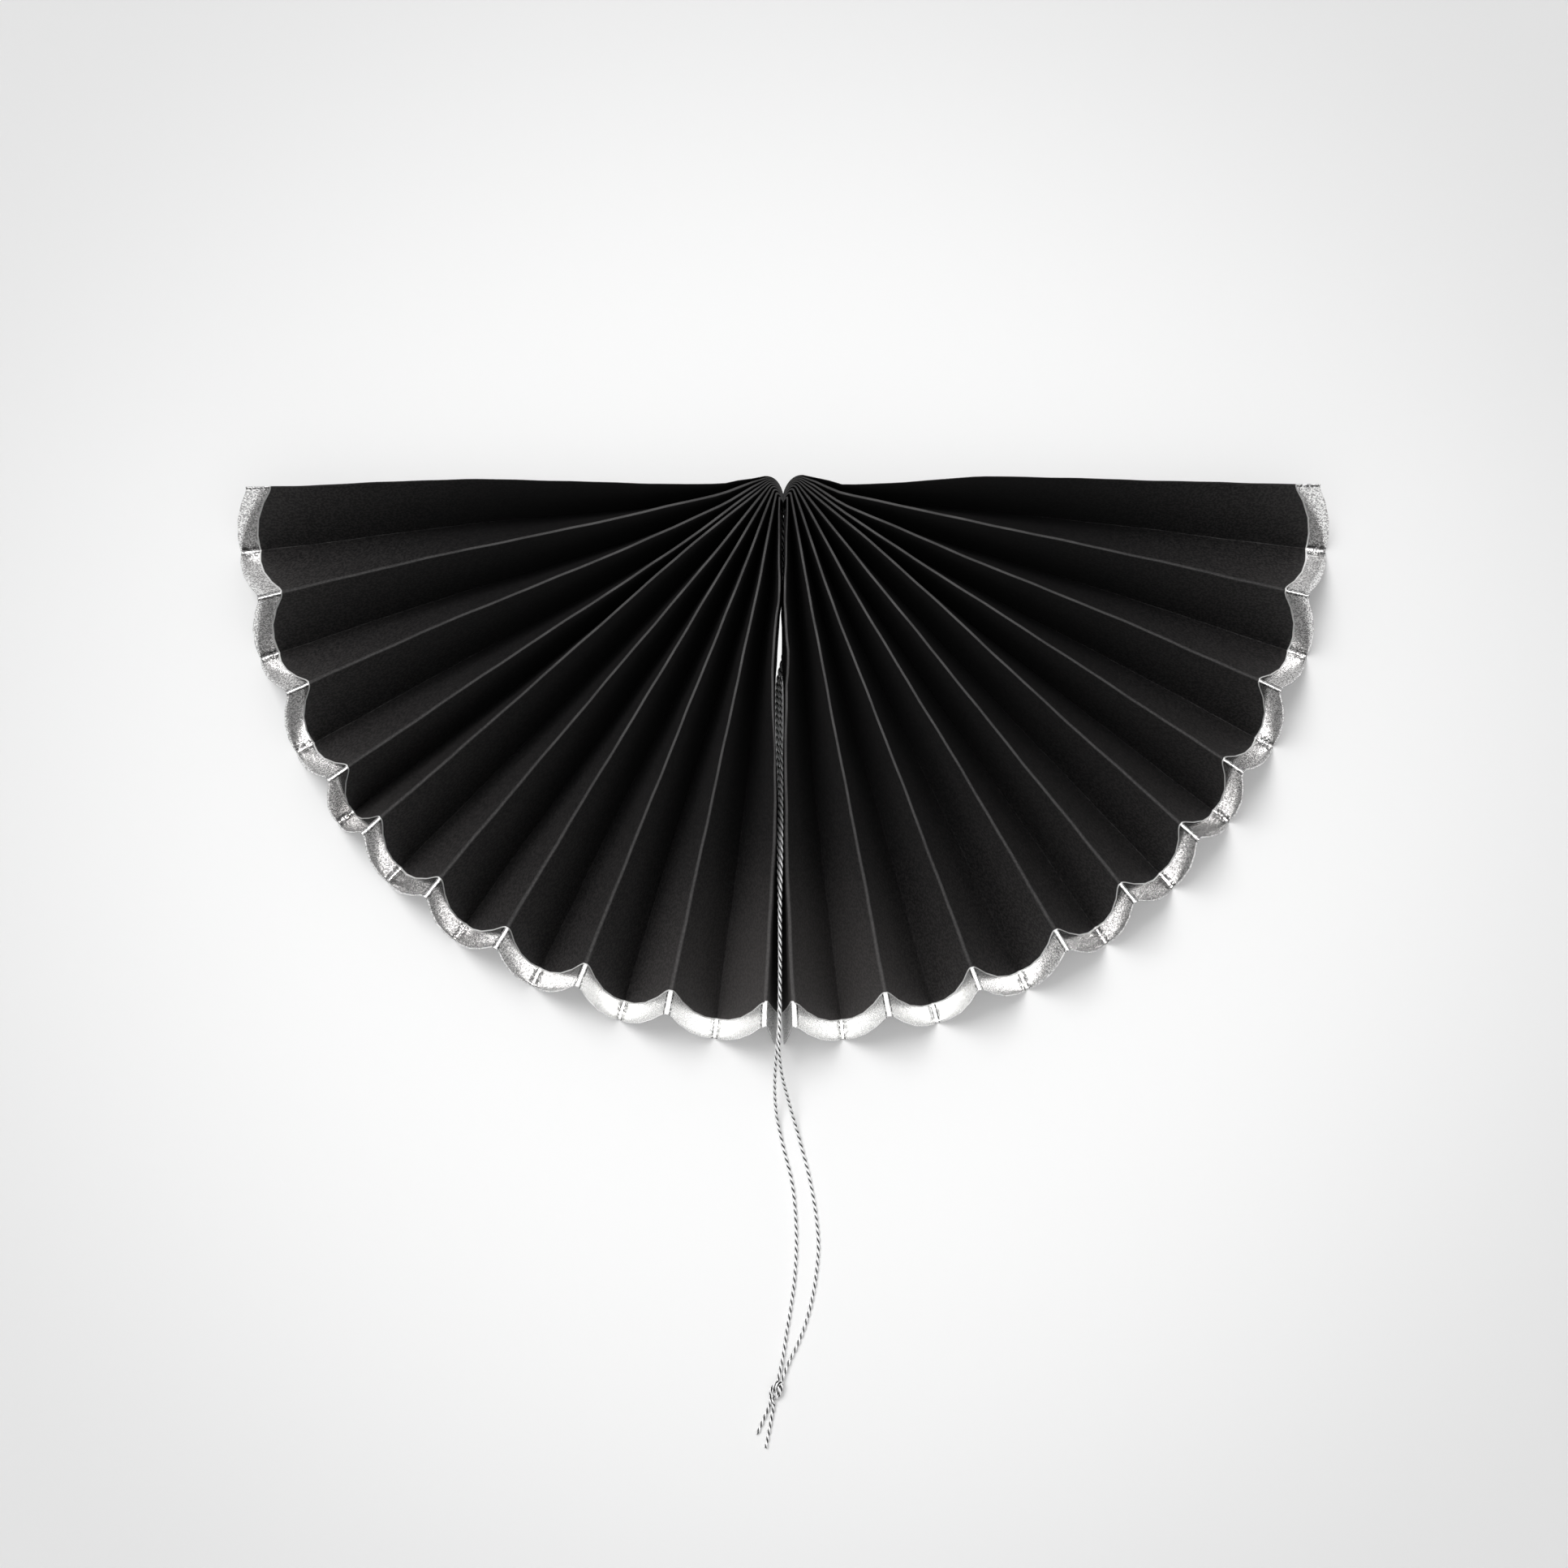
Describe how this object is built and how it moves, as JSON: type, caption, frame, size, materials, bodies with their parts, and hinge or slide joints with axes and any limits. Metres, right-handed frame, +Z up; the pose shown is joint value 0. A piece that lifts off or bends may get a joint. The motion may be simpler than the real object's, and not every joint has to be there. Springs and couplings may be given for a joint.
{
  "type": "paper fan rosette",
  "caption": "Pleated black paper fan, pinched at its waist and opened into a half disc, with a scalloped silver foil rim and a knotted metallic hanging cord.",
  "frame": {"origin": "the waist, where the fold lines of both halves run together, at the height of the surface that the lower folds rest on", "axes": "+X across the fan along its straight top edge, +Y from the seam's rim end towards the waist, +Z up out of the face with the foil border"},
  "size_m": [0.1271, 0.1117, 0.011],
  "materials": {
    "black_paper": "matte black printed paper",
    "silver_foil": "fine-grained silver foil",
    "metallic_cord": "twisted silver metallic yarn"
  },
  "bodies": {
    "root": {"pleated_paper": "black_paper", "foil_border_left": "silver_foil", "foil_border_right": "silver_foil", "hanging_cord": "metallic_cord", "cord_knot": "metallic_cord"}
  },
  "joints": []
}
